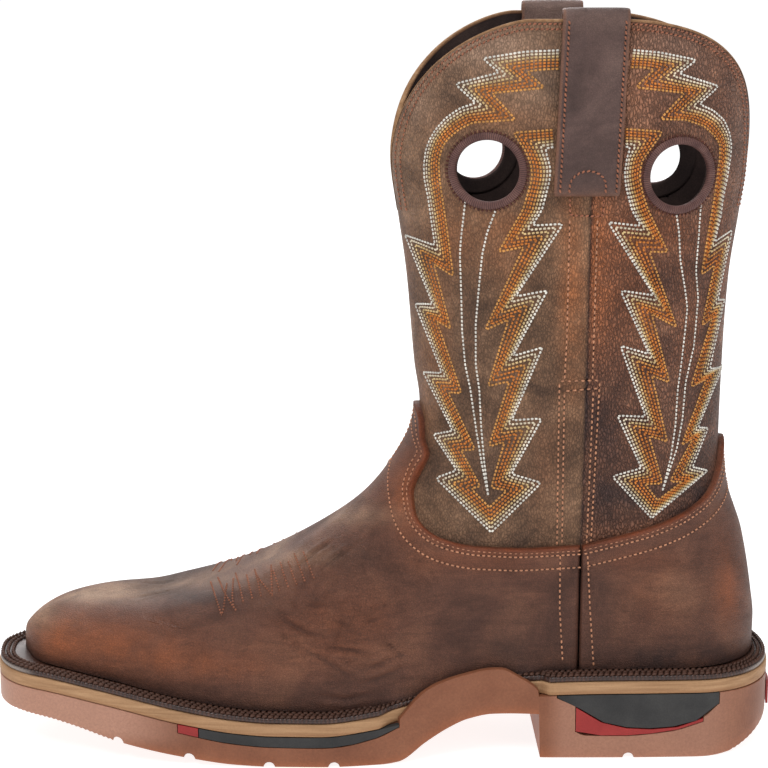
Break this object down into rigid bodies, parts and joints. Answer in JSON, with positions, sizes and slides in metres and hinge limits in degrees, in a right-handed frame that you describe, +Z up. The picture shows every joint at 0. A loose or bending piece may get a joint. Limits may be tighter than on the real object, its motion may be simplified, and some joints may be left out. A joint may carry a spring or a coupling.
{
  "type": "western boot",
  "caption": "Left pull-on western boot with a scalloped shaft, round pull holes, overlaid vamp and counter, stitched welt and an arched rubber sole.",
  "frame": {"origin": "centre of the bounding box on the floor plane that heel and forefoot stand on", "axes": "+X from the toe to the heel, +Y from the lateral side to the medial side, +Z up"},
  "size_m": [0.3209, 0.1091, 0.2997],
  "materials": {
    "shaft_leather": "dull pebbled",
    "vamp_leather": "oiled pull-up",
    "strap_leather": "smooth satin",
    "binding": "ribbed",
    "insole_board": "matte",
    "welt_leather": "satin",
    "midsole": "matte",
    "tan_rubber": "satin",
    "charcoal_rubber": "matte",
    "red_rubber": "satin"
  },
  "bodies": {
    "root": {"upper": "shaft_leather", "vamp": "vamp_leather", "counter": "vamp_leather", "pull_strap_lateral": "strap_leather", "pull_strap_medial": "strap_leather", "hole_binding_lateral_front": "binding", "hole_binding_lateral_rear": "binding", "hole_binding_medial_front": "binding", "hole_binding_medial_rear": "binding", "insole": "insole_board", "welt": "welt_leather", "midsole": "midsole", "outsole": "tan_rubber", "forefoot_insert_lateral": "charcoal_rubber", "forefoot_insert_medial": "charcoal_rubber", "heel_insert_lateral": "charcoal_rubber", "heel_insert_medial": "charcoal_rubber", "forefoot_chip_lateral": "red_rubber", "forefoot_chip_medial": "red_rubber", "heel_wedge_lateral": "red_rubber", "heel_wedge_medial": "red_rubber", "heel_tab": "red_rubber"}
  },
  "joints": []
}
